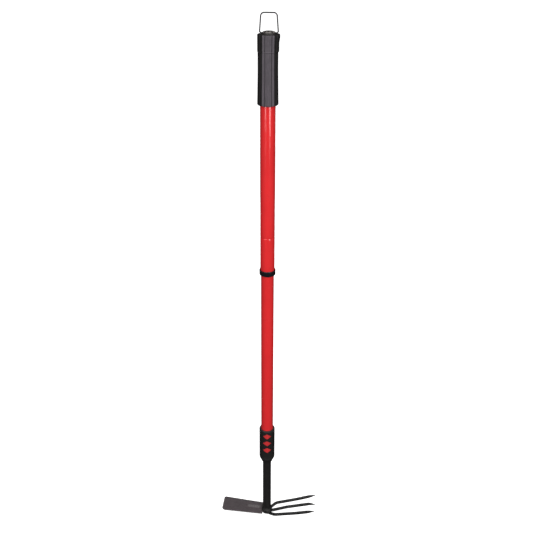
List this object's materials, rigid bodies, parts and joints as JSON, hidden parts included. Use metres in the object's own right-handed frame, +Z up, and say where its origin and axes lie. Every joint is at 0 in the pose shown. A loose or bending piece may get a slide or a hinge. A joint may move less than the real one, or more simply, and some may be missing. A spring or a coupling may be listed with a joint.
{
  "type": "telescoping hoe and cultivator",
  "caption": "Long-handled garden hand tool with a flat hoe blade on one side and curved pointed tines on the other, on a telescoping twist-lock handle with a rubber grip and hang loop.",
  "frame": {"origin": "On the handle's axis, at the flat foot of the shank.", "axes": "+Z runs up the handle to the hang loop, +X points along the tines, and the hoe blade points to -X."},
  "size_m": [0.1836, 0.0482, 0.949],
  "materials": {
    "red_paint": "glossy red enamel on thin steel tube",
    "grip_rubber": "satin moulded black rubber, fluted",
    "collar_plastic": "glossy black moulded plastic",
    "sleeve_plastic": "fine-grained black moulded plastic",
    "mark_red": "plain red inlay",
    "coated_wire": "black vinyl-coated steel wire",
    "cap_plastic": "taupe-grey moulded plastic",
    "lock_plastic": "natural nylon",
    "black_steel": "black enamel on steel rod",
    "blade_steel": "warm dark grey coated sheet steel, ground edge",
    "weld_steel": "painted-over weld bead",
    "zinc_steel": "zinc-plated steel"
  },
  "bodies": {
    "handle": {"outer_tube": "red_paint", "grip": "grip_rubber", "end_plug": "cap_plastic", "guide_collar": "collar_plastic"},
    "loop": {"hang_loop": "coated_wire"},
    "expander": {"expander_sleeve": "lock_plastic"},
    "cone": {"cone_nut": "lock_plastic"},
    "tool": {"inner_tube": "red_paint", "lock_plug": "lock_plastic", "lock_screw": "zinc_steel", "screw_washer": "zinc_steel", "screw_nut": "zinc_steel", "neck_sleeve": "sleeve_plastic", "mark_1": "mark_red", "mark_2": "mark_red", "mark_3": "mark_red", "shank_bush": "lock_plastic", "shank_pin": "zinc_steel", "shank": "black_steel", "hoe_blade": "blade_steel", "tine_left": "black_steel", "tine_middle": "black_steel", "tine_right": "black_steel", "head_weld": "weld_steel", "blade_weld": "weld_steel"}
  },
  "joints": [
    {"name": "telescope", "type": "slide", "parent": "handle", "child": "expander", "axis": [0, 0, 1], "range_m": [0, 0.29]},
    {"name": "twist_lock", "type": "hinge", "parent": "expander", "child": "tool", "pos_m": [0, 0, 0.6], "axis": [0, 0, -1], "range_deg": [0, 180]},
    {"name": "cone_travel", "type": "slide", "parent": "expander", "child": "cone", "axis": [0, 0, 1], "range_m": [0, 0.0021]},
    {"name": "loop_swing", "type": "hinge", "parent": "handle", "child": "loop", "pos_m": [0.0013, 0, 0.9196], "axis": [1, 0, 0], "range_deg": [-90, 90]}
  ],
  "couplings": [
    {"joint": "cone_travel", "follows": "twist_lock", "m_per_rad": 0.0006366}
  ]
}
